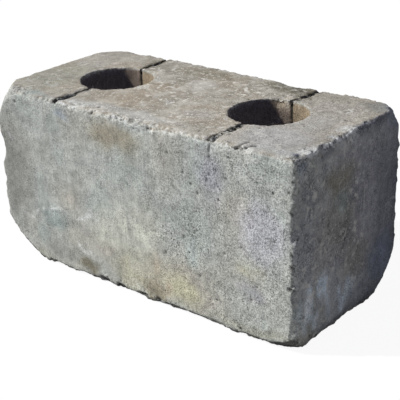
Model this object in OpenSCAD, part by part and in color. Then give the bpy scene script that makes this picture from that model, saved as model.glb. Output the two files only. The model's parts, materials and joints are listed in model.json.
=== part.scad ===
// Tumbled concrete wall block with two round cores, resting on its bed face.
// Sizes are in millimetres. X runs along the length, Y from the face to the back, Z up.
// The origin is the middle of the bed face.

/* [Block] */
// Length of the block, end to end
block_length = 397; // [340:1:460]
// Depth of the block, face to back
block_depth = 184; // [150:1:240]
// Height of the block, bed to top
block_height = 195; // [150:1:240]

/* [Cores] */
// Diameter of each round core
core_d = 80; // [60:1:100]
// Distance between the axes of the two cores
core_pitch = 204; // [170:1:215]
// How far the axes of the cores lie behind the middle of the block
core_back = 2.5; // [0:0.5:10]

/* [Core bar slits] */
// Width at the top of the slit that the tapered core bar leaves across each core
slit_w = 3.5; // [3:0.5:8]
// Width of the slit at its floor
slit_floor_w = 1.5; // [1:0.5:3]
// Depth of the slit below the top
slit_depth = 35; // [15:1:80]
// Concrete that closes the slit off from the front face
slit_web = 4; // [2:0.5:8]

/* [Worn arrises] */
// Reach of the wear on the long arrises: front bottom, back bottom, front top, back top
long_wear = [7, 9, 5, 5]; // [3:0.5:16]
// Reach of the wear on the end arrises: left bottom, right bottom, left top, right top
end_wear = [12, 7, 5, 5]; // [3:0.5:16]
// Reach of the wear on the upright arrises: front left, front right, back left, back right
upright_wear = [6, 5, 12, 7]; // [3:0.5:16]

/* [Worn corners] */
// Reach along X, Y and Z of the wear at the front left bottom corner
front_left_bottom = [80, 32, 54]; // [10:1:80]
// Reach along X, Y and Z of the wear at the front right bottom corner
front_right_bottom = [52, 20, 20]; // [10:1:80]
// Reach along X, Y and Z of the wear at the back left bottom corner
back_left_bottom = [32, 30, 32]; // [10:1:80]
// Reach along X, Y and Z of the wear at the back right bottom corner
back_right_bottom = [36, 64, 60]; // [10:1:80]
// Reach along X, Y and Z of the wear at the front left top corner
front_left_top = [44, 39, 50]; // [10:1:80]
// Reach along X, Y and Z of the wear at the front right top corner
front_right_top = [11, 11, 11]; // [10:1:80]
// Reach along X, Y and Z of the wear at the back left top corner
back_left_top = [42, 40, 24]; // [10:1:80]
// Reach along X, Y and Z of the wear at the back right top corner
back_right_top = [34, 30, 34]; // [10:1:80]

/* [Chipped arrises] */
// Length of a small chip along its arris
small_chip_length = 20; // [12:1:30]
// Bite of a small chip, in from the sharp arris
small_chip_bite = 4.5; // [4:0.5:8]
// Length of a large chip along its arris
large_chip_length = 44; // [30:1:70]
// Bite of a large chip, in from the sharp arris
large_chip_bite = 8; // [4:0.5:14]

/* [Hidden] */

// How far a worn crown is from lying flush with the faces beside it: 1 would be flush
crown = 1.2;
// How far every cut reaches past the surface that it opens
past = 2;
$fn = 96;

concrete = [0.63, 0.61, 0.57];
half = [block_length, block_depth, block_height] / 2;

// Corner wear in the order of the signs: X changes first, then Y, then Z
corner_wear = [
    front_left_bottom, front_right_bottom, back_left_bottom, back_right_bottom,
    front_left_top, front_right_top, back_left_top, back_right_top
];

// Places of the chips on each arris, as shares of the way from its middle to its end.
// The arrises come in the order of their wear.
small_on_long = [[-0.5, -0.24, -0.12, 0.28], [], [-0.24, -0.07, 0.03, 0.16, 0.73], [-0.53, 0.03, 0.52]];
large_on_long = [[], [], [], [0.38]];
small_on_end = [[], [], [], [-0.5, 0.12, 0.3]];
large_on_end = [[], [], [], []];
small_on_upright = [[-0.1], [-0.38, 0.25], [], [0.1]];
large_on_upright = [[0.28], [], [], []];

// The power of the sharp corner to the crown that wear leaves there
function crown_power(reach) = pow(crown * max(reach), 2);

// Centre of the circle or sphere that crosses each edge of a sharp corner at its reach
function crown_centre(reach) = [for (r = reach) (r + crown_power(reach) / r) / 2];

// Radius of that circle or sphere
function crown_radius(reach) = sqrt(pow(norm(crown_centre(reach)), 2) - crown_power(reach));

// Radius of the ball that makes a scallop of this length and bite
function chip_radius(length, bite) = (pow(length / 2, 2) + pow(bite, 2)) / (2 * bite);

// The sign, -1 or 1, that bit number b of the index i stands for
function side(i, b) = floor(i / pow(2, b)) % 2 == 0 ? -1 : 1;

// What wear takes off an arris along Z at the origin, with the block on the side of +X and +Y
module arris_loss(length, reach) {
    c = crown_centre([reach, reach]);
    linear_extrude(height = length + 2 * past, center = true)
        difference() {
            translate([-past, -past])
                square(c + [past, past]);
            translate(c)
                circle(r = crown_radius([reach, reach]));
        }
}

// What wear takes off a corner at the origin, with the block on the side of +X, +Y and +Z
module corner_loss(reach) {
    difference() {
        translate([-past, -past, -past])
            cube(reach + 2 * [past, past, past]);
        translate(crown_centre(reach))
            sphere(r = crown_radius(reach));
    }
}

// Scallops of one size along an arris on Z, with the block on the side of +X and +Y
module chips(arris_length, places, length, bite) {
    r = chip_radius(length, bite);
    for (place = places)
        translate([(bite - r) / sqrt(2), (bite - r) / sqrt(2), place * arris_length / 2])
            sphere(r = r);
}

// All that one arris has lost
module worn_arris(length, reach, small, large) {
    arris_loss(length, reach);
    chips(length, small, small_chip_length, small_chip_bite);
    chips(length, large, large_chip_length, large_chip_bite);
}

// Takes what is at the origin to a corner, or to the middle of an arris where one sign is 0
module at_edge(signs) {
    translate([signs.x * half.x, signs.y * half.y, signs.z * half.z])
        mirror([max(signs.x, 0), 0, 0])
            mirror([0, max(signs.y, 0), 0])
                mirror([0, 0, max(signs.z, 0)])
                    children();
}

// Turns the axes in a ring, so that Z goes to X
module z_to_x() {
    rotate(120, [1, 1, 1])
        children();
}

// Turns the axes in a ring, so that Z goes to Y
module z_to_y() {
    rotate(240, [1, 1, 1])
        children();
}

// The loss along the twelve arrises, four in each direction
module worn_arrises() {
    for (i = [0:3]) {
        at_edge([0, side(i, 0), side(i, 1)])
            z_to_x()
                worn_arris(block_length, long_wear[i], small_on_long[i], large_on_long[i]);
        at_edge([side(i, 0), 0, side(i, 1)])
            z_to_y()
                worn_arris(block_depth, end_wear[i], small_on_end[i], large_on_end[i]);
        at_edge([side(i, 0), side(i, 1), 0])
            worn_arris(block_height, upright_wear[i], small_on_upright[i], large_on_upright[i]);
    }
}

// The loss at the eight corners
module worn_corners() {
    for (i = [0:7])
        at_edge([side(i, 0), side(i, 1), side(i, 2)])
            corner_loss(corner_wear[i]);
}

// One core, straight through from bed to top
module core() {
    translate([0, core_back, 0])
        cylinder(d = core_d, h = block_height + 2 * past, center = true);
}

// The slit across one core, closed at the front face and open at the back
module slit() {
    translate([0, half.y + past, half.z])
        rotate([90, 0, 0])
            linear_extrude(height = block_depth - slit_web + past)
                polygon([
                    [-slit_floor_w / 2, -slit_depth], [slit_floor_w / 2, -slit_depth],
                    [slit_w / 2, 0], [slit_w / 2, past],
                    [-slit_w / 2, past], [-slit_w / 2, 0]
                ]);
}

module block() {
    color(concrete)
        translate([0, 0, half.z])
            difference() {
                cube(2 * half, center = true);
                worn_arrises();
                worn_corners();
                for (s = [-1, 1])
                    translate([s * core_pitch / 2, 0, 0]) {
                        core();
                        slit();
                    }
            }
}

block();
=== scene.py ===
"""Looks of a tumbled concrete wall block with two round cores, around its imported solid.

Lengths are in millimetres up to the stage, and in Blender's metres from there on.
X runs along the block, Y from the face to the back, Z up.
"""
import json
import math

import bmesh
import bpy
import numpy as np
from mathutils import Matrix, Vector


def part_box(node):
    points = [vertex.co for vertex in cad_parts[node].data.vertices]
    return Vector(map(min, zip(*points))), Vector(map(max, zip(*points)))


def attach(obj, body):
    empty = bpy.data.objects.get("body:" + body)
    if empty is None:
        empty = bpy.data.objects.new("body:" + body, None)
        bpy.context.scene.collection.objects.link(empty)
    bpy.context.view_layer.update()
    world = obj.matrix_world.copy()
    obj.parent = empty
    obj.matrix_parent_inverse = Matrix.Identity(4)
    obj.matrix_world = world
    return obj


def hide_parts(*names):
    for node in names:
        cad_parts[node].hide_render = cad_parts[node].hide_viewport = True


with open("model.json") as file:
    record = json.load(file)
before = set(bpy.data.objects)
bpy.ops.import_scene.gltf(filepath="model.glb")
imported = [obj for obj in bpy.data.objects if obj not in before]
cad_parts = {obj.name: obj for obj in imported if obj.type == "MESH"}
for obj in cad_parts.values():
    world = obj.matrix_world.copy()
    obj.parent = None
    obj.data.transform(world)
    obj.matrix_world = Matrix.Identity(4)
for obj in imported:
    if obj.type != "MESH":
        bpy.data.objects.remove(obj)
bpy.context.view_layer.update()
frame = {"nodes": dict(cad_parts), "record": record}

MM = 0.001
SEED = 7

# Sizes of the solid, from the frame
LOW, HIGH = (np.array(corner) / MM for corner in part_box("block"))
MIDDLE = (LOW + HIGH) / 2
HALF = (HIGH - LOW) / 2
TOP_Z = HIGH[2]
MOUNTS = {mount["name"]: mount for mount in frame["record"]["mounts"]}
CORES = [np.array(MOUNTS[name]["pos_m"][:2]) / MM for name in ("core_left", "core_right")]
CORE_R = MOUNTS["core_left"]["dims"]["r_mm"]

# The slit across each core, as the solid has it
SLIT_HALF = 1.75
SLIT_FRONT = -88.0
SLIT_DEPTH = 35.0

# How far the back run of each slit has strayed along X, at the core and where it leaves the back
SLIT_STRAY = [(-1.6, -1.4), (-1.2, 5.5)]

# Mesh of the visible block: how near vertices are that become one, the step of its grid, and its triangles
WELD = 0.001
VOXEL = 1.25
TRIANGLES = 194_000

# How far a surface has to turn up, or to the right, to begin to look like the top or the end, and to do so
# in full
TURNED = (0.4, 0.8)

# Measures and noise on arrays of points

# Whole numbers that scramble a seed and the three axes, and the largest number of 32 bits
SEED_FACTOR = 747796405
SEED_OFFSET = 2891336453
AXIS_FACTORS = (73856093, 19349663, 83492791)
MIX_FACTOR = np.uint32(2654435761)
MIX_SHIFT = np.uint32(15)
LAST_FACTOR = np.uint32(2246822519)
LAST_SHIFT = np.uint32(13)
WORD = 0xFFFFFFFF


def hashed(cells, seed):
    """A number from 0 to 1 for each row of whole numbers."""
    h = np.full(len(cells), (seed * SEED_FACTOR + SEED_OFFSET) & WORD, np.uint32)
    for column, factor in zip(cells.T.astype(np.int64), AXIS_FACTORS):
        h ^= ((column * factor) & WORD).astype(np.uint32)
        h *= MIX_FACTOR
        h ^= h >> MIX_SHIFT
    h *= LAST_FACTOR
    h ^= h >> LAST_SHIFT
    return h.astype(np.float64) / WORD


def smooth(t):
    """Bends an even run from 0 to 1 so that it starts and ends flat."""
    return t * t * (3 - 2 * t)


def ramp(values, start, end):
    """0 up to start, 1 from end on, and smooth between."""
    return smooth(np.clip((values - start) / (end - start), 0, 1))


def near(distance, reach):
    """1 at a distance of 0, falling smoothly to about 0 by twice the reach."""
    return np.exp(-(distance / reach) ** 2)


def run_gap(points, start, end):
    """Distance from each point to the straight run between two places."""
    run = np.subtract(end, start)
    t = np.clip((points - start) @ run / (run @ run), 0, 1)
    return np.linalg.norm(points - start - t[:, None] * run, axis=1)


def noise(points, size, seed):
    """Smooth noise from -1 to 1 with bumps of about the size given."""
    q = np.asarray(points) / size
    cell = np.floor(q)
    t = smooth(q - cell)
    total = np.zeros(len(q))
    for corner in np.ndindex(2, 2, 2):
        weight = np.prod(np.where(corner, t, 1 - t), axis=1)
        total += weight * hashed(cell + corner, seed)
    return total * 2 - 1


def layered(points, size, octaves, seed):
    """Noise with finer layers added, each half the size and half the height of the last."""
    total = np.zeros(len(points))
    for k in range(octaves):
        total += noise(points, size / 2 ** k, seed + k) / 2 ** k
    all_heights = 2 - 2.0 ** (1 - octaves)
    return total / all_heights


def shaken(points, height, size, octaves, seeds):
    """Points moved a little along each axis, by noise with a seed of its own for each."""
    return points + height * np.stack([layered(points, size, octaves, seed) for seed in seeds], axis=1)


def pits(points, cell_size, radius, share, seed):
    """How deep each point lies in scattered round pits, from 0 outside to 1 at a pit's middle."""
    q = np.asarray(points) / cell_size
    base = np.floor(q)
    deep = np.zeros(len(q))
    for beside in np.ndindex(3, 3, 3):
        cell = base + beside - 1
        spot = cell + np.stack([hashed(cell, seed + axis) for axis in range(3)], axis=1)
        size = radius * (0.5 + hashed(cell, seed + 3))
        there = hashed(cell, seed + 4) < share
        gap = np.linalg.norm((q - spot) * cell_size, axis=1)
        deep = np.maximum(deep, there * (1 - (gap / size) ** 2))
    return deep


# Shape of the visible block

# Places where the paste has broken away from the stones, and how far round them
HONEYCOMB = [
    ((-13, -92, 195), 9), ((11, -92, 193), 11), ((31, -92, 192), 8), ((54, -92, 194), 8),
    ((-76, -91, 195), 10), ((-165, -80, 192), 14), ((113, -92, 147), 6), ((101, -92, 146), 5),
    ((104, -92, 89), 5), ((113, -92, 137), 4), ((-51, -92, 151), 4), ((-37, -92, 149), 4),
    ((190, -92, 105), 5), ((192, 0, 195), 8), ((192, 9, 195), 7), ((192, -64, 195), 11),
    ((165, 45, 195), 8), ((-125, -92, 6), 7), ((-47, -92, 6), 9), ((-22, -92, 6), 9),
    ((8, -92, 6), 8), ((198, -92, 73), 6), ((198, -92, 95), 6), ((-102, -86, 195), 7),
    ((-92, -90, 194), 6), ((100, -84, 195), 5), ((104, -66, 195), 4), ((106, -52, 195), 3),
    ((194, -24, 195), 6), ((195, -12, 195), 6), ((-70, -84, 195), 7), ((97, 43, 192), 5),
]

# How far round its middle a honeycombed place fades, as a share of its reach
HONEYCOMB_FADE = 0.8

# Places where an arris or rim is fuller than on the solid, or more worn, with the height below 0:
# middle, reach and height
FULLER = [
    ((196, 4, 194), 9, 2.5), ((192, 86, 188), 10, 1.5),
    ((88, 43, 195), 8, -3.0),
]

# The foot of the front right arris, rubbed to a slant: how wide it is at the bed, and the heights where
# it ends and below which it is whole
FOOT_CUT = 8.5
FOOT_RUN = (75.0, 5.0)

# The slant that is broken off beside the front right top corner: the way it faces along X and Z, how deep it
# cuts from the sharp arris, and where along Y it begins and is whole from either side
CORNER_WAY = (0.8, 0.6)
CORNER_CUT = 7.2
CORNER_RUNS = [(-71, -76), (-92, -87)]

# How far what lies outside a slant is pulled in to it: 1 would leave the slant flat
SLANT_PULL = 0.85

# Cracks: both ends, half the width and the depth
CRACKS = [
    ((-49, -92, 191), (-48, -77, 195), 0.8, 2.5),
    ((135, -86, 195), (136, -74, 195), 0.8, 2.5),
    ((139, -91, 194), (148, -79, 195), 1.0, 3.2),
    ((133, -92, 193), (136, -88, 195), 1.2, 3.0),
    ((103, -92, 196), (103, -92, 183), 0.8, 1.9),
    ((103, -92, 179), (103, -92, 172), 0.75, 1.5),
    ((103, -92, 166), (103, -92, 160), 0.7, 1.4),
    ((-103, -92, 193), (-102, -87, 195), 1.4, 4.0),
    ((192, -92, 69), (197, -90, 67), 1.3, 2.8),
    ((194, -92, 145), (196, -91, 143), 0.9, 2.0),
    ((194, -92, 105), (195, -91, 102), 0.9, 2.0),
    ((194, -92, 92), (197, -91, 90), 0.9, 2.2),
    ((-53, -92, 6), (-43, -92, 6), 1.5, 2.4),
    ((-28, -92, 5), (-21, -92, 5), 1.4, 2.2),
    ((3, -92, 5), (12, -92, 5), 1.5, 2.4),
    ((27, -92, 7), (31, -92, 6), 1.4, 2.2),
    ((40, -92, 4), (64, -92, 4), 1.3, 2.0),
]

# The reach of a crack's slopes in half widths, and the height and size of its bends
CRACK_FADE = 1.4
CRACK_BEND = 0.9
CRACK_BEND_SIZE = 4

# Where the look of a core's wall begins and is whole: distance out from its radius, and depth below the top
CORE_EDGE = (1.5, 0.3)
CORE_LIP = (0.5, 3.0)

# Where along Y the mouth of the left slit begins to be frayed toward its front end, and is so in full
FRAYED_RUN = (-52, -70)

# How far behind the axes of the cores the slits begin to be less broken
BACK_START = 25.0

# The stray of the slits: how far it reaches to the sides, and the depths where it ends and above which
# it is whole
STRAY_REACH = 14.0
STRAY_DEPTH = (60.0, 30.0)

# Over how far the look of a slit fades out along X, Y and Z
SLIT_FADE = (0.3, 1.0, 2.0)

# The broken mouth of a slit: how far it reaches, how much further where it is frayed, and the distances from
# a core's rim where it begins and is whole
MOUTH_REACH = 3.2
FRAYED_REACH = 1.3
MOUTH_RUN = (1, 7)

# The height and size of the noise that makes a mouth ragged, and the levels where it begins and is whole
MOUTH_RAGGED = 0.55
MOUTH_RAGGED_SIZE = 7
MOUTH_LEVELS = (0.5, 0.8)

# Crumbs in the mouth of a slit stay pale: where that begins and is whole, in from its walls and down
# from the top
PALE_INSET = (0.2, 0.6)
PALE_DEPTH = (5, 3)


def edge_distances(p):
    """Distance of each point from the nearest arris, core rim and slit edge."""
    inset = HALF - np.abs(p - MIDDLE)
    arris = np.sort(inset, axis=1)[:, 1]
    from_top_or_bed = np.clip(inset[:, 2], 0, None)
    rim = np.inf
    slit = np.inf
    for core in CORES:
        offset = p[:, :2] - core
        rim = np.minimum(rim, np.hypot(np.hypot(*offset.T) - CORE_R, from_top_or_bed))
        side = np.hypot(np.abs(offset[:, 0]) - SLIT_HALF, TOP_Z - p[:, 2])
        slit = np.minimum(slit, np.hypot(side, np.clip(SLIT_FRONT - p[:, 1], 0, None)))
    return arris, rim, slit


def in_core(p):
    """1 on the wall of a core, 0 elsewhere."""
    gap = np.min([np.hypot(*(p[:, :2] - core).T) - CORE_R for core in CORES], axis=0)
    return ramp(gap, *CORE_EDGE) * ramp(TOP_Z - p[:, 2], *CORE_LIP)


def frayed(p):
    """1 at the front end of the left slit, where its mouth is broken wide, 0 elsewhere."""
    return ramp(p[:, 1], *FRAYED_RUN) * ramp(p[:, 0], MIDDLE[0], MIDDLE[0] - 1)


def behind(p):
    """1 behind the cores, where the mouths of the slits are less broken, 0 in front."""
    return ramp(p[:, 1], CORES[0][1] + BACK_START, CORES[0][1] + CORE_R)


def in_slit(p):
    """1 down in a slit and on its broken mouth, 0 elsewhere."""
    _, rim, slit = edge_distances(p)
    fade_x, fade_y, fade_z = SLIT_FADE
    aside = np.min([np.abs(p[:, 0] - core[0]) for core in CORES], axis=0)
    deep = TOP_Z - p[:, 2]
    within = ramp(deep, SLIT_DEPTH + fade_z, SLIT_DEPTH) * ramp(p[:, 1], SLIT_FRONT - fade_y, SLIT_FRONT)
    walls = ramp(aside, SLIT_HALF + fade_x, SLIT_HALF - fade_x) * within
    ragged = MOUTH_RAGGED * layered(p, MOUTH_RAGGED_SIZE, 2, SEED + 85)
    mouth = ramp(near(slit, MOUTH_REACH + FRAYED_REACH * frayed(p)) + ragged, *MOUTH_LEVELS)
    mouth = mouth * ramp(rim, *MOUTH_RUN) * (1 - 0.05 * behind(p))
    crumb = ramp(SLIT_HALF - aside, *PALE_INSET) * ramp(deep, *PALE_DEPTH)
    return np.maximum(walls, mouth) * (1 - 0.8 * crumb)


def stray(p):
    """How far the back runs of the slits stray along X."""
    total = np.zeros(len(p))
    for core, (at_core, at_back) in zip(CORES, SLIT_STRAY):
        start = core[1] + CORE_R
        along = np.clip((p[:, 1] - start) / (HIGH[1] - start), 0, 1)
        strayed = at_core + (at_back - at_core) * along
        back = ramp(p[:, 1], core[1], core[1] + CORE_R / 2)
        total += strayed * back * near(p[:, 0] - core[0], STRAY_REACH)
    return total * ramp(TOP_Z - p[:, 2], *STRAY_DEPTH)


def foot_cut(p):
    """How far each point at the foot of the front right arris is pulled in to its slant."""
    inside = HIGH[0] - p[:, 0] + p[:, 1] - LOW[1]
    return SLANT_PULL * np.clip(FOOT_CUT * ramp(p[:, 2], *FOOT_RUN) - inside, 0, None)


def corner_cut(p):
    """How far each point by the front right top corner is pulled in to the slant that is broken off there."""
    inside = CORNER_WAY[0] * (HIGH[0] - p[:, 0]) + CORNER_WAY[1] * (TOP_Z - p[:, 2])
    whole = ramp(p[:, 1], *CORNER_RUNS[0]) * ramp(p[:, 1], *CORNER_RUNS[1])
    return SLANT_PULL * np.clip(CORNER_CUT * whole - inside, 0, None)


def cracked(p):
    """How deep each point lies in a crack, in millimetres."""
    deep = np.zeros(len(p))
    q = shaken(p, CRACK_BEND, CRACK_BEND_SIZE, 1, range(SEED + 80, SEED + 83))
    for start, end, half_width, depth in CRACKS:
        deep = np.maximum(deep, depth * near(run_gap(q, start, end), half_width * CRACK_FADE))
    return deep


def honeycombed(p):
    """1 in the middle of a honeycombed place, 0 away from all."""
    share = np.zeros(len(p))
    for middle, reach in HONEYCOMB:
        share = np.maximum(share, near(np.linalg.norm(p - middle, axis=1), reach * HONEYCOMB_FADE))
    return share


# How open the grain is: on the left of the front, what its right, the right end and the arrises add
# to that, and the least and the most
OPEN_LEFT = 0.3
OPEN_RIGHT = 0.7
OPEN_END = -0.5
OPEN_ARRIS = 0.5
OPEN_LIMITS = (0.1, 1)

# Where the grain begins to change and has done so: along X on the front, in from the right end along X,
# and along Y on the end
RIGHT_RUN = (-20, 95)
END_BAND = (12, 3)
END_RUN = (-80, -45)

# How far from an arris its open grain reaches, and the heights and sizes of the noise that shifts the change
# along X and that makes the grain uneven
OPEN_REACH = 7.0
OPEN_SHIFT = 25.0
OPEN_SHIFT_SIZE = 40
OPEN_UNEVEN = 0.25
OPEN_UNEVEN_SIZE = 30


def porosity(p):
    """How open the grain is: most on the right of the front and along the arrises."""
    arris, _, _ = edge_distances(p)
    right = ramp(p[:, 0] + OPEN_SHIFT * noise(p, OPEN_SHIFT_SIZE, SEED + 90), *RIGHT_RUN)
    end = ramp(HIGH[0] - p[:, 0], *END_BAND) * ramp(p[:, 1], *END_RUN)
    open_grain = OPEN_LEFT + OPEN_RIGHT * right + OPEN_END * end + OPEN_ARRIS * near(arris, OPEN_REACH)
    return np.clip(open_grain + OPEN_UNEVEN * noise(p, OPEN_UNEVEN_SIZE, SEED + 91), *OPEN_LIMITS)


# What crumbles off in millimetres, as an even loss and the heights of the rough and the fine noise on it:
# at an arris, a core rim, a slit edge, and where a corner is rounded
ARRIS_LOSS = (-0.1, 1.4, 0.8)
RIM_LOSS = (0.2, 0.9, 0.7)
SLIT_LOSS = (1.6, 3.4, 1.4)
ROUND_LOSS = (-0.4, 1.0, 0.5)

# What flakes off besides at an arris and a rounded corner, and how much less is lost at the end's top arris
ARRIS_FLAKE = 1.8
ROUND_FLAKE = 1.2
END_TOP_SPARED = 0.8

# How far the loss reaches from an arris, a core rim and a slit edge
ARRIS_REACH = 5.0
RIM_REACH = 2.2
SLIT_REACH = 3.4

# The arrises of the left end lose less: by what share, and where that begins and is whole, in from the end
# and up from the bed
CALM = 0.65
CALM_BAND = (22, 8)
CALM_RUN = (30, 60)

# How far in from the right end and the top its top arris begins, and is whole for its loss and for its stones
END_TOP_BAND = 9.0
END_TOP_LOSS = 5.0
END_TOP_STONES = 6.0

# Distances from a core's rim where a slit's edge begins to be more broken and is so in full
BROKEN_RUN = (2, 9)

# What counts as rounded: how far its normal is from each axis, and how far it is from rims and slits
ROUND_TURN = (0.04, 0.15)
ROUND_CLEAR = (3, 6)

# Sizes of the noise that wears the block
FINE_SIZE = 4.2
ROUGH_SIZE = 11
ROUND_FLAKE_SIZE = 20
ARRIS_FLAKE_SIZE = 21
WAVE_SIZE = 90

# Pits: the size of the cells that hold one at most, the mean radius, and the share of cells that hold one
SMALL_PITS = (8, 1.8, 0.32)
LARGE_PITS = (24, 2.2, 0.20)
COMB_PITS = (4.6, 1.7, 0.75)

# How deep the pits are, and how high the waves and the grain of the faces
PIT_DEPTH = 1.4
COMB_DEPTH = 2.6
WAVE_HEIGHT = 0.4
GRAIN_HEIGHT = 0.35


def end_top(p, whole):
    """1 within a distance of the top arris of the right end, and 0 further in than its band."""
    return ramp(HIGH[0] - p[:, 0], END_TOP_BAND, whole) * ramp(TOP_Z - p[:, 2], END_TOP_BAND, whole)


def crumbled(p, n, rough, grain):
    """What has crumbled off each point at arrises, rims, slit edges and rounded corners."""
    def lost(even, rough_height, grain_height):
        """An even loss with the rough and the fine noise on it."""
        return even + rough_height * rough + grain_height * grain

    arris, rim, slit = edge_distances(p)
    calm = 1 - CALM * ramp(p[:, 0] - LOW[0], *CALM_BAND) * ramp(p[:, 2], *CALM_RUN)
    flakes = ramp(noise(p, ARRIS_FLAKE_SIZE, SEED + 15), 0.2, 0.4)
    loss = calm * near(arris, ARRIS_REACH) * (lost(*ARRIS_LOSS) + ARRIS_FLAKE * flakes)
    loss += near(rim, RIM_REACH) * lost(*RIM_LOSS)
    broken = (1 - 0.45 * behind(p)) * (0.25 + 0.75 * ramp(rim, *BROKEN_RUN)) + 0.5 * frayed(p)
    loss += near(slit, SLIT_REACH) * broken * lost(*SLIT_LOSS)
    loss -= END_TOP_SPARED * near(arris, ARRIS_REACH) * end_top(p, END_TOP_LOSS)
    for middle, reach, height in FULLER:
        loss -= height * near(np.linalg.norm(p - middle, axis=1), reach)
    rounded = ramp(1 - np.abs(n).max(axis=1), *ROUND_TURN) * ramp(np.minimum(slit, rim), *ROUND_CLEAR)
    flakes = ramp(noise(p, ROUND_FLAKE_SIZE, SEED + 16), 0.15, 0.35)
    return loss + calm * rounded * (1 - in_core(p)) * (lost(*ROUND_LOSS) + ROUND_FLAKE * flakes)


def worn_surface(p, n):
    """How far each point moves in along its normal, and how deep it lies in a hole."""
    rough = layered(p, ROUGH_SIZE, 3, SEED)
    grain = layered(p, FINE_SIZE, 2, SEED + 10)
    waves = layered(p, WAVE_SIZE, 2, SEED + 20)
    open_grain = porosity(p)
    hole = np.maximum(pits(p, *SMALL_PITS, SEED + 30) * open_grain, pits(p, *LARGE_PITS, SEED + 40))
    hole = hole * (1 - in_core(p))
    comb = pits(p, *COMB_PITS, SEED + 45) * honeycombed(p)
    crack = cracked(p)
    loss = crumbled(p, n, rough, grain) + PIT_DEPTH * hole + COMB_DEPTH * comb + crack
    loss += WAVE_HEIGHT * waves + GRAIN_HEIGHT * grain * (0.4 + open_grain)
    return loss, np.maximum(np.maximum(hole, comb), crack / 2)


def worn_places(p, n, loss):
    """Where each point lies once its loss, the slants and the stray of the slits have moved it."""
    moved = p - n * loss[:, None]
    foot = foot_cut(p)
    corner = corner_cut(p)
    moved[:, 0] += stray(p) - foot / 2 - corner * CORNER_WAY[0]
    moved[:, 1] += foot / 2
    moved[:, 2] -= corner * CORNER_WAY[1]
    return np.clip(moved, LOW, HIGH)


# Crumbs wedged in the slits: which core, where they begin and end along Y, how far apart and how deep
RUBBLE = [
    (0, -86, -72, 7, 2.4), (0, -62, -46, 13, 3.4), (0, 46, 60, 5, 2), (0, 64, 86, 10, 3),
    (1, -86, -46, 4.5, 1.4), (1, 46, 66, 5, 2.2), (1, 68, 86, 9, 3),
]

# Crumbs from least to most: radius, how far they lie aside and off their depth, and their stretch along Y
CRUMB_R = (1.3, 2.0)
CRUMB_ASIDE = (0.2, 0.7)
CRUMB_UNEVEN = (-1.2, 1.2)
CRUMB_STRETCH = (0.6, 1.1)

# Stones that stand out of the worn top arrises: the axis that the arris runs along, where they begin
# and end, and how far apart
STONES = [
    (0, -94, -72, 4), (0, -24, -6, 5), (0, 8, 14, 4),
    (1, -71, -56, 3.2), (1, -42, -30, 4), (1, -22, 11, 3.2),
]

# Stones from least to most: radius, and how far they are sunk
STONE_R = (1.3, 2.2)
STONE_SUNK = (0.0, 1.8)

# How far crumbs and stones lie from even steps
UNEVEN_STEP = (-1, 1)

# How pale the stones are along X and along Y, and how far out from a stone that begins and is whole
STONE_PALE = (0.45, 0.85)
STONE_EDGE = (0.9, 0.2)


def stone_places():
    """Middle, radius and paleness of each stone on the top arrises of the front and the right end."""
    draw = np.random.default_rng(SEED + 1)
    places = []
    for axis, start, end, step in STONES:
        for along in np.arange(start, end, step):
            radius = draw.uniform(*STONE_R)
            across = radius + draw.uniform(*STONE_SUNK)
            down = radius + draw.uniform(*STONE_SUNK)
            at = np.array([HIGH[0] - across, LOW[1] + across, TOP_Z - down])
            at[axis] = along + draw.uniform(*UNEVEN_STEP)
            places.append((at, radius, STONE_PALE[axis]))
    return places


def on_stone(p):
    """How pale each point is for lying on a stone of the top arrises: 0 off the stones."""
    share = np.zeros(len(p))
    for at, radius, pale in stone_places():
        share = np.maximum(share, pale * ramp(np.linalg.norm(p - at, axis=1) - radius, *STONE_EDGE))
    return share


def add_ball(bm, at, radius, stretch_y=1.0):
    """A rough ball, to be fused with the block."""
    spot = Matrix.Translation(Vector(at) * MM) @ Matrix.Diagonal((1, stretch_y, 1, 1))
    bmesh.ops.create_icosphere(bm, subdivisions=1, radius=radius * MM, matrix=spot)


def add_stones(bm):
    """The stones of the top arrises."""
    for at, radius, _ in stone_places():
        add_ball(bm, at, radius)


def add_rubble(bm):
    """Crumbs wedged between the walls of the slits."""
    draw = np.random.default_rng(SEED)
    for core, start, end, step, depth in RUBBLE:
        for along in np.arange(start, end, step):
            radius = draw.uniform(*CRUMB_R)
            x = CORES[core][0] + draw.choice([-1, 1]) * draw.uniform(*CRUMB_ASIDE)
            y = along + draw.uniform(*UNEVEN_STEP)
            z = TOP_Z - depth + draw.uniform(*CRUMB_UNEVEN)
            add_ball(bm, (x, y, z), radius, draw.uniform(*CRUMB_STRETCH))


def fine_copy(node):
    """A closed copy of a solid's mesh with crumbs and stones, on an even grid of small faces."""
    mesh = frame["nodes"][node].data.copy()
    bm = bmesh.new()
    bm.from_mesh(mesh)
    bmesh.ops.remove_doubles(bm, verts=bm.verts, dist=WELD * MM)
    add_rubble(bm)
    add_stones(bm)
    bm.to_mesh(mesh)
    bm.free()
    mesh.materials.clear()
    piece = bpy.data.objects.new("concrete_block", mesh)
    bpy.context.scene.collection.objects.link(piece)
    grid = piece.modifiers.new("grid", "REMESH")
    grid.mode = "VOXEL"
    grid.voxel_size = VOXEL * MM
    bake_modifiers(piece)
    return piece


def thin_out(piece):
    """Brings a piece's mesh down to the triangles that it may have."""
    thin = piece.modifiers.new("thin", "DECIMATE")
    piece.data.calc_loop_triangles()
    thin.ratio = min(1.0, TRIANGLES / len(piece.data.loop_triangles))
    bake_modifiers(piece)


def bake_modifiers(piece):
    """Puts the result of a piece's modifiers into its mesh."""
    graph = bpy.context.evaluated_depsgraph_get()
    mesh = bpy.data.meshes.new_from_object(piece.evaluated_get(graph))
    piece.modifiers.clear()
    piece.data = mesh


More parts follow.
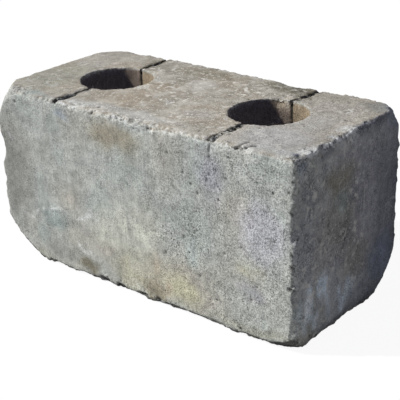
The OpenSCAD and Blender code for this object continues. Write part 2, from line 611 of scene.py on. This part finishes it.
def read_points(mesh):
    """The places of a mesh's vertices, in millimetres."""
    flat = np.empty(len(mesh.vertices) * 3, np.float32)
    mesh.vertices.foreach_get("co", flat)
    return flat.reshape(-1, 3).astype(np.float64) / MM


def read_normals(mesh):
    """The way that the surface looks at each of a mesh's vertices."""
    flat = np.empty(len(mesh.vertices) * 3, np.float32)
    mesh.vertex_normals.foreach_get("vector", flat)
    return flat.reshape(-1, 3).astype(np.float64)


def store(mesh, name, values):
    """Keeps a number, or a colour, for each vertex of a mesh."""
    if values.ndim == 1:
        made = mesh.attributes.new(name, "FLOAT", "POINT")
        made.data.foreach_set("value", values.astype(np.float32))
    else:
        made = mesh.attributes.new(name, "FLOAT_COLOR", "POINT")
        rgba = np.column_stack([values, np.ones(len(values))])
        made.data.foreach_set("color", rgba.astype(np.float32).ravel())


# Colours, as linear red, green and blue

def srgb(*levels):
    """A linear colour from its levels of 0 to 255 on a screen."""
    c = np.array(levels) / 255
    return np.where(c <= 0.04045, c / 12.92, ((c + 0.055) / 1.055) ** 2.4)


SIDE = srgb(171, 173, 166)
TOP = srgb(151, 145, 133)
CORE = srgb(153, 138, 115)
# Painted shade on the walls of the cores: the side away from the light, and below the painted shadow line
CORE_SHADED_SIDE = srgb(129, 117, 107)
CORE_PAINTED_SHADOW = srgb(117, 112, 121)
TAN = srgb(176, 163, 143)
RUST = srgb(146, 138, 118)
BROWN = srgb(120, 116, 100)
OLIVE = srgb(162, 162, 147)
TEAL = srgb(157, 168, 163)
MIST = srgb(180, 189, 184)
SLATE = srgb(145, 156, 151)
LAVENDER = srgb(155, 155, 160)
MAUVE = srgb(184, 184, 188)
CREAM = srgb(194, 195, 181)
STRAW = srgb(191, 187, 160)
WHEAT = srgb(174, 168, 142)
PALE = srgb(206, 207, 202)
DARK = srgb(143, 143, 137)
BLUE = srgb(150, 160, 172)
ICE = srgb(216, 229, 236)
CHALK = srgb(226, 228, 224)
DUST = srgb(216, 213, 203)
NAVY = srgb(98, 105, 122)
COAL = srgb(92, 94, 102)

# The faces that carry stains, scuffs and painted shade and highlights: the two axes that place a mark, and
# the way the face looks
FACES = {"front": (0, 2, (0, -1, 0)), "top": (0, 1, (0, 0, 1)), "end": (1, 2, (1, 0, 0))}

# Stains, with patches of painted shade and highlight among them: face, middle, reach, colour, strength
STAINS_AND_PAINTED_SHADING = [
    ("front", (-178, 105), (36, 80), DARK, 0.95),
    ("front", (-102, 160), (13, 36), TEAL, 0.9),
    ("front", (-102, 160), (20, 30), DARK, 0.5),
    ("front", (-104, 98), (30, 14), DARK, 0.35),
    ("front", (-93, 180), (9, 10), BLUE, 0.7),
    ("front", (-118, 60), (34, 14), DARK, 0.9),
    ("front", (-120, 60), (28, 12), SLATE, 0.75),
    ("front", (-138, 35), (12, 14), TEAL, 0.6),
    ("front", (-105, 25), (38, 17), DARK, 0.65),
    ("front", (-70, 12), (17, 10), BROWN, 1.0),
    ("front", (-20, 171), (42, 17), RUST, 0.8),
    ("front", (6, 154), (20, 11), RUST, 0.2),
    ("front", (55, 165), (26, 20), DARK, 0.4),
    ("front", (-40, 66), (26, 24), CREAM, 0.75),
    ("front", (8, 82), (40, 30), CREAM, 0.85),
    ("front", (30, 26), (64, 30), WHEAT, 0.5),
    ("front", (-8, 28), (17, 24), STRAW, 0.55),
    ("front", (32, 46), (9, 14), TAN, 0.7),
    ("front", (30, 17), (17, 15), RUST, 1.0),
    ("front", (28, 14), (9, 8), BROWN, 0.7),
    ("front", (63, 24), (20, 18), STRAW, 0.95),
    ("front", (48, 20), (5, 9), TAN, 0.8),
    ("front", (78, 75), (13, 22), CREAM, 0.5),
    ("front", (77, 74), (13, 20), MIST, 0.85),
    ("front", (104, 160), (20, 28), LAVENDER, 0.9),
    ("front", (162, 116), (28, 40), MAUVE, 0.9),
    ("front", (164, 110), (20, 24), PALE, 0.2),
    ("front", (150, 50), (18, 12), LAVENDER, 0.6),
    ("front", (148, 80), (20, 8), CREAM, 0.8),
    ("front", (152, 76), (18, 7), STRAW, 0.7),
    ("front", (150, 12), (52, 9), OLIVE, 0.9),
    ("front", (150, 14), (36, 9), DARK, 0.35),
    ("front", (186, 50), (12, 28), DARK, 0.25),
    ("front", (-150, 10), (30, 8), OLIVE, 0.7),
    ("front", (-65, 74), (20, 6), PALE, 0.5),
    ("front", (48, 94), (20, 4), PALE, 0.5),
    ("front", (38, 127), (5, 5), PALE, 0.5),
    ("front", (-72, 189), (28, 9), DARK, 0.55),
    ("front", (62, 189), (18, 9), DARK, 0.45),
    ("front", (130, 189), (22, 9), DARK, 0.55),
    ("top", (-165, -30), (40, 56), OLIVE, 0.7),
    ("top", (-45, -45), (48, 26), TAN, 0.6),
    ("top", (-40, 0), (32, 38), TAN, 0.75),
    ("top", (60, -40), (50, 30), TAN, 0.5),
    ("top", (-8, 32), (20, 18), PALE, 0.4),
    ("top", (-46, 30), (22, 18), BROWN, 0.45),
    ("top", (50, -40), (26, 20), PALE, 0.4),
    ("top", (160, 0), (26, 34), PALE, 0.3),
    ("top", (-26, 70), (44, 18), RUST, 0.8),
    ("top", (-15, -76), (78, 12), PALE, 0.6),
    ("top", (-76, -84), (30, 10), PALE, 0.7),
    ("top", (-86, -85), (10, 7), CHALK, 0.6),
    ("top", (-138, -84), (26, 9), MIST, 0.8),
    ("top", (165, -82), (46, 11), PALE, 0.65),
    ("top", (182, -80), (14, 13), PALE, 0.85),
    ("top", (-170, -84), (14, 8), LAVENDER, 0.45),
    ("top", (-100, 66), (13, 24), BROWN, 0.5),
    ("top", (100, 66), (14, 24), BROWN, 0.7),
    # Painted highlights, as of sunlight, on stones along the end's top arris
    ("top", (192, 3), (8, 12), CHALK, 0.9),
    ("top", (193, -21), (6, 6), CHALK, 0.8),
    ("top", (191, -62), (8, 13), CHALK, 0.7),
    # Painted shadow in the break beside the front right top corner
    ("top", (192, -75), (7, 5), NAVY, 0.8),
    ("top", (74, 76), (32, 18), BROWN, 1.0),
    ("top", (150, -55), (44, 32), MAUVE, 0.5),
    ("top", (150, -55), (40, 30), PALE, 0.25),
    ("top", (155, 10), (50, 70), MAUVE, 0.15),
    ("top", (188, 74), (26, 26), DARK, 0.9),
    # Painted shade on the rounded back right top corner
    ("top", (191, 80), (14, 13), NAVY, 0.5),
    ("top", (-160, 50), (44, 36), PALE, 0.25),
    ("end", (20, 110), (110, 120), LAVENDER, 0.8),
    ("end", (80, 110), (46, 110), COAL, 0.6),
    ("end", (40, 150), (40, 40), COAL, 0.25),
    ("end", (-78, 110), (18, 90), NAVY, 0.35),
    ("end", (-20, 152), (28, 20), BROWN, 0.8),
    ("end", (-22, 112), (34, 40), BROWN, 0.55),
    ("end", (-15, 128), (16, 9), TEAL, 0.6),
    ("end", (10, 62), (34, 28), BROWN, 0.5),
    # A pale streaky patch low on the end, partly a stain and partly painted light
    ("end", (-62, 45), (28, 30), ICE, 0.95),
    ("end", (-54, 42), (26, 26), ICE, 0.95),
    ("end", (-66, 42), (9, 11), CHALK, 0.6),
    ("end", (-14, 28), (26, 18), ICE, 0.7),
    ("end", (-70, 12), (20, 10), BROWN, 0.6),
    # Painted shade on the lower back corner of the end, which looks down
    ("end", (62, 36), (40, 40), NAVY, 0.7),
    ("end", (56, 42), (20, 20), BLUE, 0.2),
    # Painted shade along the foot of the end
    ("end", (20, 18), (24, 14), NAVY, 0.4),
    ("end", (20, 6), (90, 11), COAL, 0.85),
    ("end", (92, 100), (22, 90), COAL, 0.8),
    # Painted shadow under the end's top arris
    ("end", (20, 194), (110, 6), COAL, 0.8),
    ("end", (-40, 189), (20, 8), COAL, 0.5),
    ("end", (34, 189), (22, 9), COAL, 0.8),
    ("end", (19, 189), (9, 8), COAL, 0.7),
    # Painted shade on the end's side of the rounded back right top corner
    ("end", (78, 186), (20, 12), NAVY, 0.6),
    # Painted highlight, as of sunlight, on a clump at the end's top arris
    ("end", (2, 191), (8, 6), CHALK, 0.4),
    ("end", (-80, 184), (11, 12), BLUE, 0.6),
]

# Pale scuffs: face, the points that each runs through, strength
SCUFFS = [
    ("front", [(-152, 58), (-140, 62), (-128, 68), (-112, 71), (-99, 72)], 0.7),
    ("front", [(-136, 57), (-120, 63), (-104, 64)], 0.25),
    ("front", [(-82, 67), (-66, 74), (-48, 77)], 0.8),
    ("front", [(-84, 37), (-78, 31), (-66, 32)], 0.8),
    ("front", [(-172, 52), (-150, 50), (-132, 46)], 0.5),
    ("front", [(-120, 88), (-95, 98)], 0.4),
    ("front", [(-108, 128), (-101, 138), (-98, 150)], 0.5),
    ("front", [(28, 88), (46, 95), (62, 97)], 0.7),
    ("front", [(34, 122), (38, 131)], 0.8),
    ("front", [(-106, 157), (-88, 160)], 0.4),
    ("front", [(-178, 146), (-172, 132)], 0.5),
    ("end", [(-20, 125), (-16, 118)], 0.6),
    ("end", [(8, 148), (12, 142)], 0.6),
    ("end", [(4, 42), (12, 38)], 0.6),
]
SCUFF_WIDTH = 1.2

# How far a surface has to face a way, to begin with and in full: for the marks of a face, for the colour of
# the top, and for the painted shade on what looks down
FACE_TURN = (0.3, 0.75)
TOP_TURN = (0.45, 0.85)
UNDER_TURN = (0.3, 0.6)

# How far noise shakes the outlines of stains, painted shade and highlights, and scuffs, and the size of that
# noise
MARK_SHAKE = 10
MARK_SHAKE_SIZE = 18
SCUFF_SHAKE = 2.5
SCUFF_SHAKE_SIZE = 9

# Sizes of the noise in the colours
CLOUD_SIZE = 60
HUE_SIZE = 45
MOTTLE_SIZE = 24
DARK_FOOT_SIZE = 14
RUN_SIZE = 13
STREAK_SIZE = 6
SCUFF_GAP_SIZE = 5

# Where a stain, or a patch of painted shade or highlight, begins and is whole, as shares of its reach
MARK_EDGE = (1.25, 0.35)

# How places are squeezed along X, Y and Z so that their noise makes streaks in the icy patches, and runs down
# the sides
STREAK_SQUEEZE = (1, 1, 0.3)
RUN_SQUEEZE = (1, 1, 0.12)

# The way from a core's axis to the side of its wall that is painted lighter, as the side the light falls on,
# and how far that way the wall begins to be painted lit and is so in full, as shares of its radius
LIT_SIDE = np.array([0.81, 0.59])
LIT_SIDE_RUN = (0.5, 0.68)

# Painted shadow on a core's wall, below a line that slants down toward the lit side: how far down the line
# goes per share of the radius toward that side, and how sharp its edge is
PAINTED_SHADOW_SLANT = 75.0
PAINTED_SHADOW_EDGE = (0.08, -0.04)

# The depths where painted shade begins to darken a core's wall and has done so in full
CORE_SHADE_RUN = (8, 42)

# The chip in the back rim of the right core, with a painted highlight as of sunlight on it: where it is, how
# far it reaches, how many times less it does so along X, Y and Z, and its colour
RIM_CHIP = np.array([87, 42, 191])
RIM_CHIP_REACH = 12.0
RIM_CHIP_SQUEEZE = (1, 1, 2)
RIM_CHIP_HIGHLIGHT = srgb(204, 190, 166)

# Painted shade along the foot, with some dirt: how ragged its edge is, and the heights where it begins and is
# whole on the front and on the end
DARK_FOOT_RAGGED = 4.5
DARK_FOOT_FRONT = (5.8, 2.6)
DARK_FOOT_END = (11.0, 4.0)

# The depths where the look of a slit's mouth ends and that of its walls is whole
MOUTH_DEPTH = (3, 6)

# How much more red, green and blue is lost in the mouths of the slits behind the cores
MOUTH_BROWN = np.array([-0.04, 0.02, 0.15])


def blend(colour, other, share):
    """A colour for each point, taken toward another one by its own share."""
    return colour + (other - colour) * share[:, None]


def on_face(face, n):
    """1 where the surface looks the way of a face that carries marks, 0 elsewhere."""
    return ramp(n @ np.array(FACES[face][2]), *FACE_TURN)


def stained_and_shaded(colour, p, n):
    """A colour for each point with the stains, and the painted shade and highlights among them, laid over it.
    """
    q = shaken(p, MARK_SHAKE, MARK_SHAKE_SIZE, 3, range(SEED + 70, SEED + 85, 5))
    streaks = ramp(layered(p * STREAK_SQUEEZE, STREAK_SIZE, 3, SEED + 153), -0.25, 0.4)
    for face, middle, reach, mark_colour, strength in STAINS_AND_PAINTED_SHADING:
        a, b, _ = FACES[face]
        gap = np.linalg.norm((q[:, [a, b]] - middle) / reach, axis=1)
        share = strength * ramp(gap, *MARK_EDGE) * on_face(face, n)
        if mark_colour is ICE:
            share = share * streaks
        if face == "top":
            mark_colour = mark_colour * TOP.mean() / SIDE.mean()
        colour = blend(colour, mark_colour, share)
    return colour


def scuffed(colour, p, n):
    """A colour for each point with the pale scuffs laid over it."""
    q = shaken(p, SCUFF_SHAKE, SCUFF_SHAKE_SIZE, 1, range(SEED + 95, SEED + 98))
    broken = ramp(noise(p, SCUFF_GAP_SIZE, SEED + 98), -0.7, 0.1)
    for face, points, strength in SCUFFS:
        a, b, _ = FACES[face]
        runs = zip(points, points[1:])
        gap = np.min([run_gap(q[:, [a, b]], start, end) for start, end in runs], axis=0)
        colour = blend(colour, CHALK, strength * near(gap, SCUFF_WIDTH) * broken * on_face(face, n))
    return colour


def core_wall(p, cloud):
    """The colour of a core's wall: brown, with painted shade to the front and left, below a slanting line and
    further down, and a painted highlight on a chip in the right core's rim.
    """
    aside = p[:, :2] - np.where(p[:, :1] < MIDDLE[0], CORES[0], CORES[1])
    toward_lit = aside @ LIT_SIDE / CORE_R
    depth = TOP_Z - p[:, 2]
    # Painted shade: darker below a line that slants down toward the lit side, as a shadow falls, and darker
    # further down
    painted_shadow = ramp(toward_lit - depth / PAINTED_SHADOW_SLANT, *PAINTED_SHADOW_EDGE)
    deep = ramp(depth, *CORE_SHADE_RUN)
    # Painted highlight, as of sunlight, on the chip in the right core's rim
    chip_highlight = near(np.linalg.norm((p - RIM_CHIP) * RIM_CHIP_SQUEEZE, axis=1), RIM_CHIP_REACH)
    wall = blend(CORE_SHADED_SIDE, CORE, ramp(toward_lit, *LIT_SIDE_RUN))
    wall = blend(wall, RIM_CHIP_HIGHLIGHT, chip_highlight) * (1 - 0.5 * deep)[:, None]
    shaded_wall = CORE_PAINTED_SHADOW * (0.55 + 0.45 * deep)[:, None]
    return blend(wall, shaded_wall, painted_shadow) * (1 + 0.2 * cloud)[:, None]


def painted_foot_shade(p, n, mottle, end):
    """1 where shade is painted: along the foot, with some dirt, and on what looks down; 0 elsewhere."""
    height = p[:, 2] + DARK_FOOT_RAGGED * layered(p, DARK_FOOT_SIZE, 2, SEED + 68)
    heights = zip(DARK_FOOT_FRONT, DARK_FOOT_END)
    begins, whole = (on_front + (on_end - on_front) * end for on_front, on_end in heights)
    under = ramp(-n[:, 2] + 0.1 * mottle, *UNDER_TURN)
    return np.maximum(ramp(height, begins, whole), under)


def slit_light(p):
    """How much red, green and blue is left at each point by the painted shade, with some dirt, in the slits
    and their mouths, and by the brown of the shallow mouths behind the cores.
    """
    down = ramp(TOP_Z - p[:, 2], *MOUTH_DEPTH)
    shade = (0.72 + 0.16 * down) * in_slit(p)
    brown = shade * behind(p) * (1 - down)
    return 1 - shade[:, None] - brown[:, None] * MOUTH_BROWN


def tint(p, n):
    """The colour of each point before its grain: face, clouds, runs, stains, and painted shade and highlights
    among the stains, at the foot, in the cores and in the slits.
    """
    cloud = layered(p, CLOUD_SIZE, 3, SEED + 50)
    mottle = layered(p, MOTTLE_SIZE, 3, SEED + 55)
    hue = layered(p, HUE_SIZE, 2, SEED + 60)
    runs = layered(p * RUN_SQUEEZE, RUN_SIZE, 2, SEED + 65)
    up = ramp(n[:, 2], *TOP_TURN)
    end = ramp(n[:, 0], *TURNED)
    colour = blend(SIDE, TOP, up)
    colour = colour + (TAN - SIDE) * (0.4 * np.clip(hue, 0, 1))[:, None]
    colour = colour + (TEAL - SIDE) * (0.5 * np.clip(-hue, 0, 1) * (1 - up))[:, None]
    colour = scuffed(stained_and_shaded(colour, p, n), p, n)
    light = 1 + (1 + 0.8 * end) * (0.12 * cloud + 0.13 * mottle + 0.13 * runs * (1 - up))
    # Painted shade along the foot, with some dirt, and on what looks down
    light = light * (1 - 0.1 * end) * (1 - 0.8 * painted_foot_shade(p, n, mottle, end))
    colour = blend(colour * light[:, None], core_wall(p, cloud), in_core(p))
    return colour * slit_light(p)


# Where the top begins to be rubbed less and is so in full: out from the middle along X, and back along Y
RUBBED_X = (85, 140)
RUBBED_Y = (50, 75)

# Where along Y the end begins to be rubbed and is so in full, how far a surface has to turn to the right for
# that, and the place on the end that is not rubbed
RUBBED_END = (45, 5)
RUBBED_TURN = (0.5, 0.8)
DULL_PLACE = (-20, 150)
DULL_REACH = 20.0


def rubbed(p, n):
    """How much each point is rubbed pale: most on the middle of the top, and not in the cores or slits."""
    top = (1 - 0.6 * ramp(np.abs(p[:, 0]), *RUBBED_X)) * (1 - 0.5 * ramp(p[:, 1], *RUBBED_Y))
    end = ramp(n[:, 0], *RUBBED_TURN) * ramp(p[:, 1], *RUBBED_END)
    dull = near(np.linalg.norm(p[:, 1:] - DULL_PLACE, axis=1), DULL_REACH)
    faces = 0.1 + 0.8 * top * ramp(n[:, 2], *TURNED) + 0.6 * end * (1 - dull)
    return faces * (1 - in_core(p)) * (1 - in_slit(p))


# The stretch of the long arrises where pale stones show most: its middle, and how far from that it begins
# and is whole
CRUMBLY_X = 15.0
CRUMBLY_RUN = (150, 90)

# Where along Y the stones of the end's top arris begin to show, and do so in full
END_STONES_RUN = (22, 12)

# How far stones show from an arris, and from a rim or slit, and how much further from a slit
STONES_ARRIS = 8.0
STONES_RIM = 3.0
STONES_SLIT = 2.0


def stony(p):
    """How much each point shows pale stones: along the arrises, and a little at rims and slits."""
    arris, rim, slit = edge_distances(p)
    crisp = 0.35 + 0.65 * ramp(np.abs(p[:, 0] - CRUMBLY_X), *CRUMBLY_RUN)
    on_end = end_top(p, END_TOP_STONES)
    crisp = crisp * (1 - on_end) + ramp(p[:, 1], *END_STONES_RUN) * on_end
    mouths = near(np.minimum(rim, slit - STONES_SLIT), STONES_RIM)
    return np.maximum(crisp * near(arris, STONES_ARRIS), 0.25 * mouths)


def make_block():
    """The visible block: the solid's mesh, worn, with what its finish needs to know at each vertex."""
    piece = fine_copy("block")
    mesh = piece.data
    p, n = read_points(mesh), read_normals(mesh)
    loss, hole = worn_surface(p, n)
    mesh.vertices.foreach_set("co", (worn_places(p, n, loss) * MM).astype(np.float32).ravel())
    store(mesh, "tint", tint(p, n))
    store(mesh, "hole", hole)
    store(mesh, "porous", porosity(p))
    store(mesh, "worn", stony(p))
    store(mesh, "bare", honeycombed(p))
    store(mesh, "stone", on_stone(p))
    store(mesh, "top", ramp(n[:, 2], *TURNED))
    store(mesh, "rubbed", rubbed(p, n))
    thin_out(piece)
    piece.data.shade_smooth()
    return piece


# Finish

# Sizes of the marks in the finish, the same all ways or along X, Y and Z
GRAIN_SIZE = 1.5
PORE_SIZE = 2.1
FLECK_SIZE = 2.8
PEBBLE_SIZE = 3.4
BLOTCH_SIZE = 7.0
PATCH_SIZE = 8.0
STONY_SIZE = 15.0
BROAD_SIZE = 17.0
UNEVEN_SIZE = 24.0
CLUSTER_SIZE = 42.0
DRAG_SIZE = (1.7, 1.7, 24.0)
LINE_SIZE = (26.0, 26.0, 20.0)
LINED_SIZE = (38.0, 38.0, 30.0)

# How strong the light and dark of the grain is where it is closed and where it is open
GRAIN_CONTRAST = (1.1, 2.6)

# What is left of the colour where shade is painted into the gaps between pale stones, and into pores and pits
GAP_LIGHT = 0.3
PORE_LIGHT = 0.25

# The colour of thin scuffs, and how strong they are on the sides and on the top
SCUFF_COLOUR = 0.95 * PALE
SCUFF_STRENGTH = (0.5, 0.9)

# Relief of the grain, how rough it is from least to most, and how much it shines
BUMP_STRENGTH = 0.5
BUMP_HEIGHT = 0.4
ROUGHNESS = (0.86, 0.96)
SHINE = 0.25


class Tree:
    """Short ways to build a shader's nodes. An argument is a socket or a plain value."""

    def __init__(self, material):
        material.use_nodes = True
        self.tree = material.node_tree

    def put(self, entry, value):
        """Links a socket to a node's entry, or gives the entry a plain value."""
        if isinstance(value, bpy.types.NodeSocket):
            self.tree.links.new(value, entry)
        else:
            entry.default_value = value

    def node(self, kind, values=(), **settings):
        """A new node with its settings, and a value for each of its entries that is named or numbered."""
        made = self.tree.nodes.new(kind)
        for name, value in settings.items():
            setattr(made, name, value)
        for key, value in dict(values).items():
            self.put(made.inputs[key], value)
        return made

    def attribute(self, name, output="Fac"):
        """What the mesh keeps under a name."""
        return self.node("ShaderNodeAttribute", attribute_name=name).outputs[output]

    def math(self, operation, *values):
        """The result of an operation on numbers."""
        return self.node("ShaderNodeMath", enumerate(values), operation=operation).outputs[0]

    def divide(self, vector, sizes):
        """A vector divided by a size along each axis."""
        return self.node("ShaderNodeVectorMath", {0: vector, 1: sizes}, operation="DIVIDE").outputs[0]

    def noise(self, place, size, detail=2.0, distortion=0.0):
        """Noise from 0 to 1 with bumps of a size, the same all ways or given along X, Y and Z."""
        sizes = size if isinstance(size, tuple) else (size, size, size)
        vector = self.divide(place, sizes)
        values = {"Vector": vector, "Scale": 1.0, "Detail": detail, "Distortion": distortion}
        return self.node("ShaderNodeTexNoise", values).outputs["Fac"]

    def span(self, value, start, end, low=0.0, high=1.0):
        """Goes from low at start to high at end, and stays there beyond."""
        values = {"Value": value, "From Min": start, "From Max": end, "To Min": low, "To Max": high}
        return self.node("ShaderNodeMapRange", values).outputs["Result"]

    def mix(self, share, colour, other):
        """A colour taken toward another one by a share. The node has its colours at entries 6 and 7."""
        return self.node("ShaderNodeMix", {0: share, 6: colour, 7: other}, data_type="RGBA").outputs[2]

    def scale_colour(self, colour, factor):
        """A colour made lighter or darker."""
        return self.node("ShaderNodeVectorMath", {0: colour, "Scale": factor}, operation="SCALE").outputs[0]


def grain_light(t, mm, grain, patch, contrast):
    """How light the concrete is: the specks of its grain, patches, and drag marks down the sides."""
    speckle = t.math("MULTIPLY", t.math("SUBTRACT", grain, 0.5), contrast)
    cloud = t.math("SUBTRACT", patch, 0.5)
    drag = t.math("SUBTRACT", t.noise(mm, DRAG_SIZE), 0.5)
    streak = t.math("MULTIPLY", drag, t.span(t.attribute("top"), 0, 1, 0.55, 0.0))
    return t.math("ADD", t.math("ADD", speckle, cloud), t.math("ADD", streak, 1.0))


def with_rubbed_spots(t, mm, colour):
    """A colour with pale rubbed spots, most on the top."""
    blotch = t.span(t.noise(mm, BLOTCH_SIZE, 5), 0.545, 0.66)
    cluster = t.span(t.noise(mm, CLUSTER_SIZE), 0.38, 0.60, 0.3, 1.0)
    broad = t.span(t.noise(mm, BROAD_SIZE, 5, 0.5), 0.5, 0.72, 0.0, 0.45)
    fleck = t.span(t.noise(mm, FLECK_SIZE, 1), 0.66, 0.72)
    marks = t.math("MAXIMUM", t.math("MULTIPLY", blotch, cluster), broad)
    marks = t.math("MAXIMUM", marks, fleck)
    return t.mix(t.math("MULTIPLY", marks, t.attribute("rubbed")), colour, (*DUST, 1))


def with_stones(t, mm, colour):
    """A colour with pale stones along arrises and rims, and painted shade in the gaps between them."""
    pebbles = t.noise(mm, PEBBLE_SIZE)
    places = t.span(t.noise(mm, STONY_SIZE), 0.36, 0.62, 0.2, 1.0)
    bare = t.math("MULTIPLY", t.attribute("bare"), 0.9)
    share = t.math("MAXIMUM", t.math("MULTIPLY", t.attribute("worn"), places), bare)
    crumb = t.math("MULTIPLY", share, t.span(pebbles, 0.50, 0.64, 0.0, 0.8))
    gap = t.math("MULTIPLY", share, t.span(pebbles, 0.43, 0.33, 0.0, 0.75))
    colour = t.mix(crumb, colour, (*CHALK, 1))
    colour = t.mix(t.attribute("stone"), colour, (*CHALK, 1))
    return t.mix(gap, colour, t.scale_colour(colour, GAP_LIGHT))


def with_scuffs(t, mm, grain, colour):
    """A colour with thin pale scuffs, in patches."""
    off_line = t.math("SUBTRACT", t.noise(mm, LINE_SIZE, 1.5, 0.6), 0.5)
    thin = t.span(t.math("ABSOLUTE", off_line), 0.0, 0.016, 1.0, 0.0)
    places = t.span(t.noise(mm, LINED_SIZE, 1), 0.46, 0.62)
    broken = t.span(grain, 0.38, 0.6)
    scuff = t.math("MULTIPLY", t.math("MULTIPLY", thin, places), broken)
    strength = t.span(t.attribute("top"), 0, 1, *SCUFF_STRENGTH)
    return t.mix(t.math("MULTIPLY", scuff, strength), colour, (*SCUFF_COLOUR, 1))


def concrete():
    """Dry-cast concrete: open grain, pores and pits darkened with painted shade, drag marks down the sides,
    pale scuffs and worn arrises.
    """
    material = bpy.data.materials.new("concrete")
    t = Tree(material)
    mm = t.divide(t.node("ShaderNodeTexCoord").outputs["Object"], (MM, MM, MM))
    porous = t.attribute("porous")
    grain = t.noise(mm, GRAIN_SIZE, 3)
    patch = t.noise(mm, PATCH_SIZE, 4)
    uneven = t.span(t.noise(mm, UNEVEN_SIZE), 0.35, 0.65, 0.65, 1.3)
    contrast = t.math("MULTIPLY", t.span(porous, 0, 1, *GRAIN_CONTRAST), uneven)
    pores = t.math("MULTIPLY", t.span(t.noise(mm, PORE_SIZE), 0.36, 0.27), porous)
    holes = t.span(t.attribute("hole"), 0.1, 0.7, 0.0, 0.7)

    colour = t.scale_colour(t.attribute("tint", "Color"), grain_light(t, mm, grain, patch, contrast))
    colour = with_rubbed_spots(t, mm, colour)
    colour = with_stones(t, mm, colour)
    colour = with_scuffs(t, mm, grain, colour)
    # Painted shade: pores, and the pits, cracks and honeycombed hollows of the mesh, are darkened
    dark = t.math("MAXIMUM", t.math("MULTIPLY", pores, 0.75), holes)
    colour = t.mix(dark, colour, t.scale_colour(colour, PORE_LIGHT))

    height = t.math("SUBTRACT", t.math("MULTIPLY", grain, contrast), t.math("MULTIPLY", pores, 1.2))
    relief = {"Strength": BUMP_STRENGTH, "Distance": BUMP_HEIGHT * MM, "Height": height}
    shader = material.node_tree.nodes["Principled BSDF"]
    t.put(shader.inputs["Base Color"], colour)
    t.put(shader.inputs["Normal"], t.node("ShaderNodeBump", relief).outputs[0])
    t.put(shader.inputs["Roughness"], t.span(patch, 0.3, 0.7, *ROUGHNESS))
    t.put(shader.inputs["Specular IOR Level"], SHINE)
    return material


block = make_block()
block.data.materials.append(concrete())
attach(block, "root")
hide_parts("block")

# Stage

FLOOR_SIZE = 12.0
FLOOR_GAP = 0.1 * MM

# Levels of the floor: its glow and its matte part as the camera sees it, and its grey as it lights
# the block
FLOOR_GLOW = 0.93
FLOOR_MATTE = 0.07
FLOOR_GREY = 0.36

bpy.ops.mesh.primitive_plane_add(size=FLOOR_SIZE, location=(0, 0, -FLOOR_GAP))
floor = bpy.context.object
floor.name = "floor"


def looked_at(t):
    """1 where the camera sees a surface, straight or in a reflection or through glass, 0 for its light."""
    rays = t.node("ShaderNodeLightPath").outputs
    straight_or_mirrored = t.math("MAXIMUM", rays["Is Camera Ray"], rays["Is Glossy Ray"])
    return t.math("MAXIMUM", straight_or_mirrored, rays["Is Transmission Ray"])


def matte(t, level):
    """A matte grey."""
    return t.node("ShaderNodeBsdfDiffuse", {"Color": (level, level, level, 1)}).outputs[0]


def floor_material():
    """A pale matte floor that the camera sees as white, with the block's shadow on it."""
    material = bpy.data.materials.new("floor")
    t = Tree(material)
    t.tree.nodes.clear()
    glow = t.node("ShaderNodeEmission", {"Strength": FLOOR_GLOW})
    white = t.node("ShaderNodeAddShader", {0: glow.outputs[0], 1: matte(t, FLOOR_MATTE)})
    seen = {0: looked_at(t), 1: matte(t, FLOOR_GREY), 2: white.outputs[0]}
    mix = t.node("ShaderNodeMixShader", seen)
    t.node("ShaderNodeOutputMaterial", {"Surface": mix.outputs[0]})
    return material


floor.data.materials.append(floor_material())

# Light

SUN_TRAVEL = Vector((0.62, 0.45, -0.643))
SUN_STRENGTH = 4.13
SUN_ANGLE = math.radians(1.5)
SKY = (0.92, 0.94, 1.12)
SKY_STRENGTH = 0.25

sun_data = bpy.data.lights.new("sun", "SUN")
sun_data.energy = SUN_STRENGTH
sun_data.angle = SUN_ANGLE
sun = bpy.data.objects.new("sun", sun_data)
sun.rotation_euler = SUN_TRAVEL.to_track_quat("-Z", "Y").to_euler()
bpy.context.scene.collection.objects.link(sun)


def sky():
    """Even, slightly blue light from all round, behind which the camera sees white."""
    world = bpy.data.worlds.new("sky")
    t = Tree(world)
    t.tree.nodes.clear()
    fill = t.node("ShaderNodeBackground", {"Color": (*SKY, 1), "Strength": SKY_STRENGTH})
    white = t.node("ShaderNodeBackground", {"Color": (1, 1, 1, 1)})
    seen = {0: looked_at(t), 1: fill.outputs[0], 2: white.outputs[0]}
    mix = t.node("ShaderNodeMixShader", seen)
    t.node("ShaderNodeOutputWorld", {"Surface": mix.outputs[0]})
    return world


bpy.context.scene.world = sky()

# Camera, as fitted to the photo: its place, the way it looks, its roll, and its focal length in pixels

CAMERA_AT = Vector((0.67606, -0.77709, 0.52408))
CAMERA_AIM = Vector((-0.59600, 0.69701, -0.39870))
CAMERA_ROLL = math.radians(-2.2725)
FOCAL_PX = 1046.4
PHOTO_PX = 400
SENSOR = 36.0

camera_data = bpy.data.cameras.new("camera")
camera_data.sensor_width = SENSOR
camera_data.lens = SENSOR * FOCAL_PX / PHOTO_PX
camera = bpy.data.objects.new("camera", camera_data)
upright = CAMERA_AIM.to_track_quat("-Z", "Y").to_matrix().to_4x4()
camera.matrix_world = Matrix.Translation(CAMERA_AT) @ upright @ Matrix.Rotation(CAMERA_ROLL, 4, "Z")
bpy.context.scene.collection.objects.link(camera)
bpy.context.scene.camera = camera

bpy.context.scene.view_settings.view_transform = "Standard"
